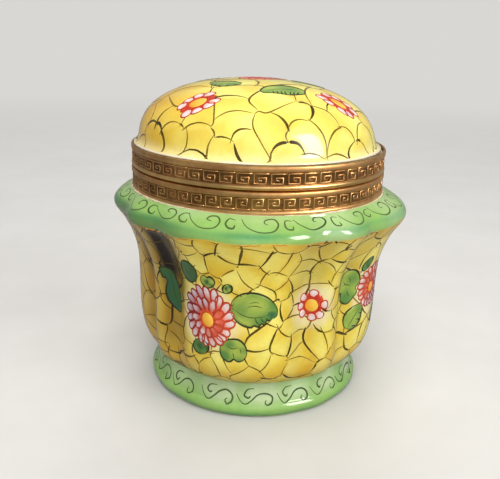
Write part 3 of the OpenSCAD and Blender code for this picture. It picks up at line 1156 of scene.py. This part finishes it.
def flower_washes(surface):
    """How much the ground is left pale round the flowers."""
    share = 0
    wander = 0.8 * WASH(surface.angles * 5, surface.runs)
    for turn in (0, 180):
        for _, middle, height, _, radius, _ in BASE_FLOWERS:
            run = surface.run_at(height)
            aside = np.radians(off_angle(surface.angles, middle + turn)) * surface.radius(run)
            away = np.hypot(aside, surface.runs - run) + wander
            share = np.maximum(share, 1 - ease(away, radius + 0.2, radius + 3.6))
    return share


def bowl_ground(surface, seeds):
    """The colours of the base's outside, with painted shade in its creases and on its left side, and a
    painted shadow along its bottom edge.
    """
    angle, run, height = surface.angles, surface.runs, surface.heights
    places = np.stack([angle * BODY_TURN / 360, run], axis=2)
    share = (height - FOOT_H) / BODY_H
    left = on_left(angle)
    shade = crease_shade(angle)
    crease = ease(soft_lobe_drop(angle), 0.2, 0.66) * ease(share, 0, 0.25)
    line = rim_line(surface, angle)
    foot_run = surface.run_at(BODY_Z) - 0.35
    return layered(
        cell_wash(surface, places, seeds, len(seeds) // 3, 31),
        (GOLD, 0.14 * ease(share, 0.66, 0.84)),
        # Painted shade: the left side more ochre, partly the box's own
        (OCHRE, 0.5 * left ** 2),
        # Painted shade in the creases, partly the box's brown wash
        (OCHRE, (0.1 + 0.6 * shade) * crease),
        (SHADE_UMBER, 1.35 * shade * crease * (0.42 + 0.58 * ease(share, 0.4, 0.64))),
        (OCHRE, 0.5 * (1 - ease(share, 0, 0.2))),
        # Painted shadow along the body's bottom edge, strongest on the left
        (SHADE_UMBER, (0.25 + 0.5 * left) * (1 - ease(share, 0, 0.07))),
        (CREAM, 0.5 * flower_washes(surface)),
        (OCHRE, 0.35 * ease(run, line - 2.2, line - 0.2)),
        (rim_green(surface), ease(run, line - 0.2, line + 0.2)),
        (foot_green(angle, height), 1 - ease(run, foot_run - 0.15, foot_run + 0.2)))


def make_bowl():
    """The painted base in one closed skin: foot, body, rim, neck, inside and underside. Gives its outside
    and the seeds of its cells."""
    rows, start, end = bowl_rows()
    points = swayed(ring_points(rows, COLUMNS, BOWL_UNEVEN))
    surface = Surface(points[start:end])
    seeds = seeds_on_band(surface.run_at(BODY_Z), surface.run_at(RIM_Z), CELL_PITCH, 21)
    piece = painted_shell("bowl", "base", points, slice(start, end), bowl_ground(surface, seeds), CREAM)
    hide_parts("bowl")
    return surface, seeds


def paint_edge(surface):
    """The loose work along the edge of the green: broken red strokes, and by the creases a few dark
    flicks and pale spots."""
    paint = Paint()
    draw = np.random.default_rng(55)
    per_degree = math.radians(surface.radius(surface.run_at(RIM_Z)))

    def chart(x, y, lift):
        return surface.place(x / per_degree, rim_line(surface, x / per_degree) + y, lift)

    start = 0
    while start < 350:
        length = draw.uniform(3, 11)
        x = np.linspace(start, start + length, 9) * per_degree
        path = np.stack([x, draw.normal(-0.3, 0.08, 9)], axis=1)
        tint = blend(EDGE_RED, GOLD, draw.uniform(0.1, 0.8))
        paint.line(chart, path, brush_widths(9, draw.uniform(0.24, 0.5), 0.4, 0.5), LINE_LIFT, tint)
        start += length + draw.uniform(3, 14)
    spot_tint = from_middle(GLAZE_SPOT, GREEN)
    for crease in [turn + side * WIDE_HALF for turn in range(0, 360, 90) for side in (-1, 1)]:
        for k in range(5):
            middle = np.array([(crease + draw.uniform(-9, 9)) * per_degree, draw.uniform(-0.5, 0.6)])
            if k < 3:
                end = middle + [draw.uniform(-1.8, 1.8), -draw.uniform(0.3, 1.4)]
                paint.line(chart, bowed(middle, end, 0.15), brush_widths(5, 0.5), 0.05, DARK_INK)
            else:
                spot = star_outline(draw.uniform(0.3, 0.6), draw.uniform(1.0, 2.2))
                paint.blob(stretched(chart, 1, 1, *middle), spot, 0.04, spot_tint, rings=2)
    paint.make("base_edge_strokes", "base")


def paint_bowl(surface, seeds):
    """The base's brushwork: cell lines, flowers, leaves, and the scrolls on rim and foot."""
    draw = np.random.default_rng(41)
    low, high = surface.run_at(BODY_Z), surface.run_at(RIM_Z)
    lines, flowers, leaves, scrolls = Paint(), Paint(), Paint(), Paint()

    def on_body(x, y):
        return 0 <= x < BODY_TURN and low - 0.5 < y < high + 0.5

    def ground_chart(x, y, lift):
        angle = x / BODY_TURN * 360
        return surface.place(angle, np.clip(y, low - 0.2, rim_line(surface, angle) - 0.3), lift)

    # Painted shade: cell lines in the shaded creases are inked darker
    def ink_shade(x, y):
        return 0.9 * crease_shade(x / BODY_TURN * 360) - 0.1

    def at(angle, height, turn=0.0):
        return surface.band(angle, surface.run_at(height), turn)

    paths = chains(*cell_lines(seeds), draw, on_body)
    draw_cells(lines, ground_chart, paths, draw, 0.52, 0.13, ink_shade)
    for turn in (0, 180):
        for paint, motifs in ((flowers, BASE_FLOWERS), (leaves, BASE_LEAVES)):
            for motif, angle, height, tilt, size, own in motifs:
                motif(paint, at(turn + angle, height, tilt), size, draw, **own)
        stem = bowed((-0.9, -0.4), (2.6, -1.8), 0.06)
        leaves.line(at(turn - 8, 39.3), stem, brush_widths(5, 0.42, 0.5), 0.05, LEAF_INK)
    daisy(flowers, at(114, 33.0), 4.1, draw, (120,))
    leaf(leaves, at(106, 38.4, 30), 4.4, draw, "oval")
    draw_scrolls(scrolls, surface, FOOT_H + 0.969 * BODY_H, (5.6, 4.5), 12.6, RIM_CURVES, 51)
    draw_scrolls(scrolls, surface, 5.2, (4.9, 4.4), 10.6, FOOT_CURVES, 52)
    lines.make("base_cell_lines", "base")
    flowers.make("base_flowers", "base")
    leaves.make("base_leaves", "base")
    scrolls.make("base_scrolls", "base")
    paint_edge(surface)


# ---- the painted dome

def dome_seeds(surface, pitch, seed):
    """Cell seeds over the dome, in a flat plan of distance from its top."""
    draw = np.random.default_rng(seed)
    reach = surface.run[-1] + 1.5 * pitch

    def propose():
        away, turn = reach * math.sqrt(draw.random()), draw.uniform(0, 2 * math.pi)
        return [away * math.sin(turn), -away * math.cos(turn)]

    return scattered(int(math.pi * reach ** 2 / pitch ** 2), propose)


def make_dome():
    """The painted dome with its skirt and its cream inside, in one closed skin. Gives its outside and the
    seeds of its cells."""
    rows, skirt = dome_rows()
    outside = leaned(ring_points(rows, COLUMNS, DOME_UNEVEN))
    inside = leaned(ring_points(dome_inside_rows(), COLUMNS))
    surface = Surface(outside[skirt:])
    seeds = dome_seeds(surface, DOME_CELL_PITCH, 61)
    away = surface.run[-1] - surface.runs
    places = round_axis(away, surface.angles, 0)[..., :2]
    left = on_left(surface.angles)
    edge = surface.runs + 0.3 * WASH(surface.angles * 3, 0)
    ground = layered(
        cell_wash(surface, places, seeds, len(seeds), 71),
        # Painted shade: golden on the left side. Painted light: paler on the right side
        (GOLD, 0.75 * left * ease(away, 8, 26)),
        (PALE_YELLOW, 0.38 * (1 - left)),
        (EDGE_CREAM, 0.5 * (1 - ease(edge, 0.8, 4))),
        (CREAM, 0.9 * (1 - ease(edge, 0.3, 0.8))))
    points = np.concatenate([inside, outside])
    piece = painted_shell("dome", "lid", points, slice(len(inside) + skirt, None), ground, YELLOW)
    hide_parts("dome")
    return surface, seeds


def paint_dome(surface, seeds):
    """The lid's brushwork: larger cells, flowers and leaves."""
    draw = np.random.default_rng(81)
    total = surface.run[-1]
    limit = total - 0.9
    lines, flowers, leaves = Paint(), Paint(), Paint()

    def on_dome(x, y):
        return math.hypot(x, y) < limit + 1.5

    def ground_chart(x, y, lift):
        away = np.minimum(np.hypot(x, y), limit)
        return surface.place(np.degrees(np.arctan2(x, -y)), total - away, lift)

    def ink_shade(x, y):
        return 0

    at = surface.crown
    paths = chains(*cell_lines(seeds), draw, on_dome)
    draw_cells(lines, ground_chart, paths, draw, 0.68, 0.26, ink_shade, True)
    chrysanthemum(flowers, at(160, 4.0), 6.4, draw)
    long_leaf(leaves, at(33, 15.0, 94), 11.8, draw, 7.6, 0.25, 7)
    long_leaf(leaves, at(-30, 11.4, 80), 9.0, draw, 6.0, -0.2, 5)
    for angle in (104, 160, 205, 255):
        long_leaf(leaves, at(angle, 13.5, draw.uniform(-40, 40)), 9.0, draw, 5.4, 0.2, 5)
    for angle, away, turn in ((-25.5, 24.4, -51), (67, 24.4, 76), (148, 24.9, -51), (236, 24.9, 76)):
        daisy(flowers, stretched(at(angle, away, turn), 1.12, 0.76), 5.5, draw, (0, 180), 10)
    lines.make("lid_cell_lines", "lid")
    flowers.make("lid_flowers", "lid")
    leaves.make("lid_leaves", "lid")


# ---- the brass collars

SHEET = 0.55
FLANGE = 0.6
COLLAR_COLUMNS = 512
COLLAR_DENT = 0.035
COLLAR_BORE = COLLAR_R - 0.2 - SHEET
FRIEZE_R = COLLAR_R - 0.3
FLANGE_R = MOUTH_R + 0.2

# A key in a box one unit wide and high, how far its bars stand up, and the wear of their sides' feet
KEY = ((1, 1), (.08, 1), (.08, 0), (.77, 0), (.77, .62), (.36, .62), (.36, .32), (.55, .3))
KEY_RISE = 0.15
KEY_FOOT_WEAR = 0.26


def collar_ring(outline, seed):
    """A closed ring of points from an outline of radius, height and wear, made slightly uneven, and its
    wear."""
    angle = np.arange(COLLAR_COLUMNS) * 360 / COLLAR_COLUMNS
    radius, height, wear = np.array(outline, float).T[..., None]
    uneven, fine, rubbed = (waves(seed + i, count, strongest)(angle, height)
                            for i, (count, strongest) in enumerate(((9, 9), (9, 34), (12, 24))))
    radius = radius + COLLAR_DENT * (uneven + 0.3 * fine)
    points = round_axis(radius, angle, height + 0.3 * COLLAR_DENT * fine)
    return points, wear + 0.12 * rubbed


def bead(low, high, radius, swell, wear, steps):
    """Outline points of a rolled bead between two heights."""
    middle, half = (low + high) / 2, (high - low) / 2
    turns = np.radians(np.linspace(-90, 90, steps))
    return [[radius + swell * math.cos(t), middle + half * math.sin(t), wear * (0.35 + 0.65 * math.cos(t))]
            for t in turns]


def key_paths(count, low, high, flip, seed):
    """The key pattern's bars as paths round the frieze, one hooked key after another."""
    draw = np.random.default_rng(seed)
    pitch = 2 * math.pi * FRIEZE_R / count
    for i in range(count):
        shape = np.array(KEY, float)
        shape[4:] += draw.uniform(-0.03, 0.03, shape[4:].shape)
        if flip:
            shape[:, 1] = 1 - shape[:, 1]
        yield np.stack([(i + shape[:, 0]) * pitch, low + (high - low) * shape[:, 1]], axis=1)


def finer(path, step):
    """A path with further points about every step."""
    fine = [path[:1]]
    for a, b in zip(path[:-1], path[1:]):
        steps = max(1, int(np.linalg.norm(b - a) / step))
        fine.append(np.linspace(a, b, steps + 1)[1:])
    return np.vstack(fine)


def key_relief(paths, width, worn, seed):
    """Raised bars along the paths, each with sloping sides. Gives points, faces and wear."""
    draw = np.random.default_rng(seed)
    points, faces, wear = [], [], []
    for path in paths:
        fine = finer(path, 1.1)
        ways = unit(np.diff(fine, axis=0))
        before = np.vstack([ways[:1], ways])
        mean = unit(before + np.vstack([ways, ways[-1:]]))
        side = width * rightwards(mean) / np.maximum((mean * before).sum(axis=1), 0.6)[:, None]
        rubbed = worn + draw.uniform(-0.22, 0.15)
        rise = KEY_RISE * draw.uniform(0.65, 1.0)
        places = fine[:, None] + side[:, None] * np.array([-0.5, -0.24, 0.24, 0.5])[:, None]
        radius = FRIEZE_R + np.array([-0.05, rise, rise, -0.05])
        faces += tube_faces(len(fine), 4, len(wear))
        turns = np.degrees(places[..., 0] / FRIEZE_R)
        points.append(round_axis(radius, turns, places[..., 1]).reshape(-1, 3))
        wear += [KEY_FOOT_WEAR, rubbed, rubbed, KEY_FOOT_WEAR] * len(fine)
    return np.vstack(points), faces, wear


def make_collar(node, body, outline, paths, key_width, worn, seed):
    """One collar: its rolled ring and the key frieze that stands on its sunk ground."""
    ring, ring_wear = collar_ring(outline, seed)
    points, faces, wear = key_relief(paths, key_width, worn, seed + 1)
    first = ring_wear.size
    faces = grid_faces(*ring_wear.shape, closed=True) + [tuple(first + i for i in face) for face in faces]
    piece = make_piece("brass_" + node, np.vstack([ring.reshape(-1, 3), points]), faces, BRASS, body,
                       {"wear": np.r_[ring_wear.ravel(), wear]})
    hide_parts(node)


def top_strip(low, top):
    """Outline points of the smooth strip above a frieze."""
    return [[FRIEZE_R, low - 0.12, 0.15], [COLLAR_R - 0.1, low, 0.4], [COLLAR_R, low + 0.18, 0.6],
            [COLLAR_R, top - 0.3, 0.5], [COLLAR_R - 0.1, top - 0.08, 0.7], [COLLAR_R - 0.32, top, 0.7]]


def make_collars():
    """Both collars, each with its outline of radius, height and wear, up the outside and down the bore."""
    low, top = BASE_COLLAR[0][2], BASE_COLLAR[1][2]
    outline = [[COLLAR_BORE, low, 0.1], [COLLAR_R - 0.5, low, 0.1]]
    outline += bead(low + 0.02, low + 0.95, COLLAR_R - 0.38, 0.38, 0.8, 7)
    outline += [[FRIEZE_R, low + 1.1, 0.15]] + top_strip(top - 1.3, top)
    outline += [[FLANGE_R + 0.3, top, 0.5], [FLANGE_R, top - 0.15, 0.5], [FLANGE_R, top - FLANGE + 0.1, 0.3],
                [FLANGE_R + 0.1, top - FLANGE, 0.2], [COLLAR_BORE, top - FLANGE, 0.1]]
    paths = key_paths(58, low + 1.34, top - 1.68, True, 91)
    make_collar("base_collar", "base", outline, paths, 0.4, 0.6, 93)

    low, top = LID_COLLAR[0][2], LID_COLLAR[1][2]
    outline = [[FLANGE_R, low + 0.2, 0.3], [FLANGE_R + 0.2, low, 0.5], [COLLAR_R - 0.5, low, 0.4]]
    outline += bead(low + 0.03, low + 1.3, COLLAR_R - 0.52, 0.52, 0.95, 9)
    outline += [[FRIEZE_R, low + 1.45, 0.15]] + top_strip(top - 1.38, top)
    outline += [[COLLAR_BORE + 0.1, top, 0.5], [COLLAR_BORE, top - 0.15, 0.2],
                [COLLAR_BORE, low + FLANGE, 0.1], [FLANGE_R, low + FLANGE, 0.2]]
    paths = key_paths(54, low + 1.72, top - 1.76, False, 92)
    make_collar("lid_collar", "lid", outline, paths, 0.42, 0.56, 95)


def dress_solids():
    """Gives the nodes that are kept from the solids their materials, and the brass ones rounded edges."""
    for node, material in (("base_hinge_leaf", HINGE_BRASS), ("lid_hinge_leaf", HINGE_BRASS),
                           ("hinge_pin", PIN_BRASS), ("base_bedding", PLASTER), ("lid_bedding", PLASTER)):
        piece = frame["nodes"][node]
        piece.data.materials.clear()
        piece.data.materials.append(material)
        if material is not PLASTER:
            rounding = piece.modifiers.new("rounding", "BEVEL")
            rounding.width = 0.12 * MM
            rounding.segments = 3
            rounding.limit_method = "ANGLE"


def make_residue():
    """Cement that has squeezed out under the base's collar: a low uneven fillet with a few smears."""
    draw = np.random.default_rng(101)
    low = BASE_COLLAR[0][2] + 0.02
    section = ((-0.35, -0.05), (0, -0.06), (0.6, -0.14), (0.42, 0.2), (0.04, 0.42), (-0.35, 0.36))
    out, up = np.array(section).T
    points, faces, first = [], [], 0
    for start, end, size in ((-84, -12, 0.8), (16, 24, 0.5), (33, 50, 0.8), (66, 96, 0.6), (140, 205, 0.8)):
        count = int((end - start) / 1.2)
        swell = 0.15 + 0.6 * np.abs(np.sin(np.linspace(0, math.pi, count))) ** 0.4
        thick = (size * swell * draw.uniform(0.55, 1.15, count))[:, None]
        angle = np.linspace(start, end, count)[:, None]
        points.append(round_axis(COLLAR_R + out * thick, angle, low + up * thick).reshape(-1, 3))
        faces += [face[::-1] for face in tube_faces(count, len(section), first)]
        first += count * len(section)
    make_piece("cement_residue", np.vstack(points), faces, PLASTER, "base", {})


# ---- stage, light and camera

# The backdrop's tone, the share of it that is mirrored in the brass and the glaze, and how far from the
# box, in metres, the floor starts and ends to fade into it
BACKDROP = tone(216, 215, 212)
MIRRORED = 0.27
FADE = (0.12, 0.9)

# Lamps by name, angle round the box, angle above its floor, distance, size, power, colour, and whether
# they are mirrored, and the place that they face
LAMPS_AIM = Vector((0, 0, 0.055))
LAMPS = (
    ("key", 62, 30, 0.6, (0.3, 0.4), 1.4, (1, 0.98, 0.95), False),
    ("front", 8, 46, 0.9, (0.5, 0.5), 5.4, (1, 0.98, 0.95), False),
    ("top", 0, 80, 0.9, (0.5, 0.5), 4.0, (1, 0.98, 0.95), False),
    ("fill", -60, 30, 0.9, (0.6, 0.6), 0.5, (0.97, 0.98, 1), False),
    ("back", 190, 46, 0.9, (0.6, 0.5), 3.4, (1, 1, 1), False),
    ("room", 30, 20, 0.9, (1.3, 0.9), 3.3, (1, 1, 1), True),
    ("window", 63, 28, 0.6, (0.19, 0.34), 3.6, (1, 0.99, 0.97), True),
)


def direction(turn, rise):
    """The unit vector from the box at an angle round it and one above its floor."""
    turn, rise = math.radians(turn), math.radians(rise)
    return Vector((math.sin(turn) * math.cos(rise), -math.cos(turn) * math.cos(rise), math.sin(rise)))


def lamp(name, turn, rise, away, size, power, colour, mirrored):
    """A lamp in a direction from the box, which it faces. It either lights the colours or is mirrored
    in the gloss."""
    light = bpy.data.lights.new(name, "AREA")
    light.shape = "RECTANGLE"
    light.size, light.size_y = size
    light.energy = power
    light.color = colour
    source = new_object(name, light)
    way = direction(turn, rise)
    source.location = LAMPS_AIM + way * away
    source.rotation_euler = (-way).to_track_quat("-Z", "Y").to_euler()
    source.visible_diffuse = not mirrored
    source.visible_glossy = mirrored


def lay_over(tree, end, under, over, share):
    """Shows one shader over another by a share, at the tree's end node."""
    fill(tree.nodes[end], {"Surface": add(tree, "MixShader", "Shader", {"Fac": share, 1: under, 2: over})})


def fade_floor(tree):
    """Lets the camera see the floor in the backdrop's tone where it is far from the box."""
    away = add(tree, "VectorMath", "Value", {0: add(tree, "TexCoord", "Object")}, operation="LENGTH")
    far = add(tree, "MapRange", "Result", {"Value": away, "From Min": FADE[0], "From Max": FADE[1]},
              interpolation_type="SMOOTHSTEP")
    share = math_node(tree, "MULTIPLY", far, add(tree, "LightPath", "Is Camera Ray"))
    lay_over(tree, "Material Output", tree.nodes["Principled BSDF"].outputs["BSDF"],
             add(tree, "Emission", "Emission", {"Color": (*BACKDROP, 1)}), share)


def make_world():
    """A world that lights softly, and that the camera and the brass see in the backdrop's tone."""
    world = bpy.data.worlds.new("studio")
    bpy.context.scene.world = world
    world.use_nodes = True
    tree = world.node_tree
    light = tree.nodes["Background"]
    fill(light, {"Color": (0.86, 0.86, 0.86, 1), "Strength": 0.21})
    mirrored = math_node(tree, "MULTIPLY", add(tree, "LightPath", "Is Glossy Ray"), MIRRORED)
    share = math_node(tree, "MAXIMUM", add(tree, "LightPath", "Is Camera Ray"), mirrored)
    lay_over(tree, "World Output", light.outputs["Background"],
             add(tree, "Background", "Background", {"Color": (*BACKDROP, 1)}), share)


def make_stage():
    """A pale floor, soft lamps and a pale world."""
    half = 5.0
    corners = [(x * half, y * half, 0) for x, y in ((-1, -1), (1, -1), (1, 1), (-1, 1))]
    mesh = bpy.data.meshes.new("floor")
    mesh.from_pydata(corners, [], [(0, 1, 2, 3)])
    cloth = matt_material("floor", 30, ((0.3, tone(198, 197, 194)), (0.7, tone(204, 203, 201))), 0.7, 0.00002)
    fade_floor(cloth.node_tree)
    mesh.materials.append(cloth)
    floor = new_object("floor", mesh)
    floor.visible_glossy = False
    make_world()
    for settings in LAMPS:
        lamp(*settings)


def make_camera():
    """The camera, placed from the middle of the seam."""
    away = 5.352 * (COLLAR_R - 0.2)
    turn, rise = 8.5, 11.0
    pan, dip, roll = turn + 0.5, 17.67, 1.7
    camera = bpy.data.cameras.new("camera")
    camera.lens = 47.27
    camera.sensor_width = 36
    camera.clip_start = 0.01
    view = new_object("camera", camera)
    view.matrix_world = Matrix.Translation((Vector((0, 0, SEAM_Z)) + away * direction(turn, rise)) * MM)
    for angle, axis in ((pan, "Z"), (90 - dip, "X"), (roll, "Z")):
        view.matrix_world @= Matrix.Rotation(math.radians(angle), 4, axis)
    bpy.context.scene.camera = view
    bpy.context.scene.view_settings.view_transform = "Standard"


make_camera()
make_stage()
paint_bowl(*make_bowl())
paint_dome(*make_dome())
make_collars()
dress_solids()
make_residue()
